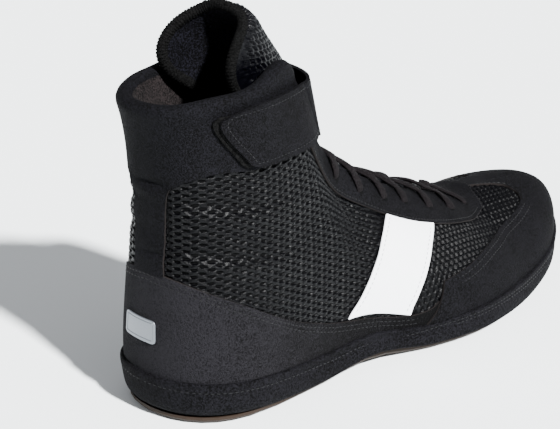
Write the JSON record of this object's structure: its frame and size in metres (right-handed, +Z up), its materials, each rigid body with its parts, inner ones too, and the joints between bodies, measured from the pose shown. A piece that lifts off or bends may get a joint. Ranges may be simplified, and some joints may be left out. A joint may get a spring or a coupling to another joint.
{
  "type": "wrestling shoe",
  "caption": "High-top wrestling shoe for the right foot: thin gum sole, black mesh and suede upper, laced throat, padded collar, tall tongue and a front strap.",
  "frame": {"origin": "on the floor below the centre of the bounding box", "axes": "+X towards the toe, +Z up, -Y towards the lateral (outer) side of this right shoe"},
  "size_m": [0.2992, 0.102, 0.1809],
  "materials": {
    "gum_rubber": "matt gum rubber",
    "black_foam": "fabric-faced foam",
    "black_suede": "napped suede",
    "black_mesh": "open mesh over foam",
    "black_knit": "smooth knit",
    "white_synthetic": "smooth synthetic",
    "silver_film": "satin silver",
    "brown_lining": "brushed lining",
    "black_lace": "round woven lace"
  },
  "bodies": {
    "root": {"outsole": "gum_rubber", "insole": "black_foam", "rand": "black_suede", "upper": "black_mesh", "counter": "black_suede", "toe_cap": "black_suede", "cuff": "black_knit", "eyestay": "black_suede", "band_lateral": "white_synthetic", "band_medial": "white_synthetic", "heel_badge": "silver_film", "tongue": "brown_lining", "strap_pad": "black_foam", "strap": "black_knit", "lace_bar": "black_lace", "lace_cross_1": "black_lace", "lace_cross_2": "black_lace", "lace_cross_3": "black_lace", "lace_cross_4": "black_lace", "lace_cross_5": "black_lace", "lace_cross_6": "black_lace"}
  },
  "joints": []
}
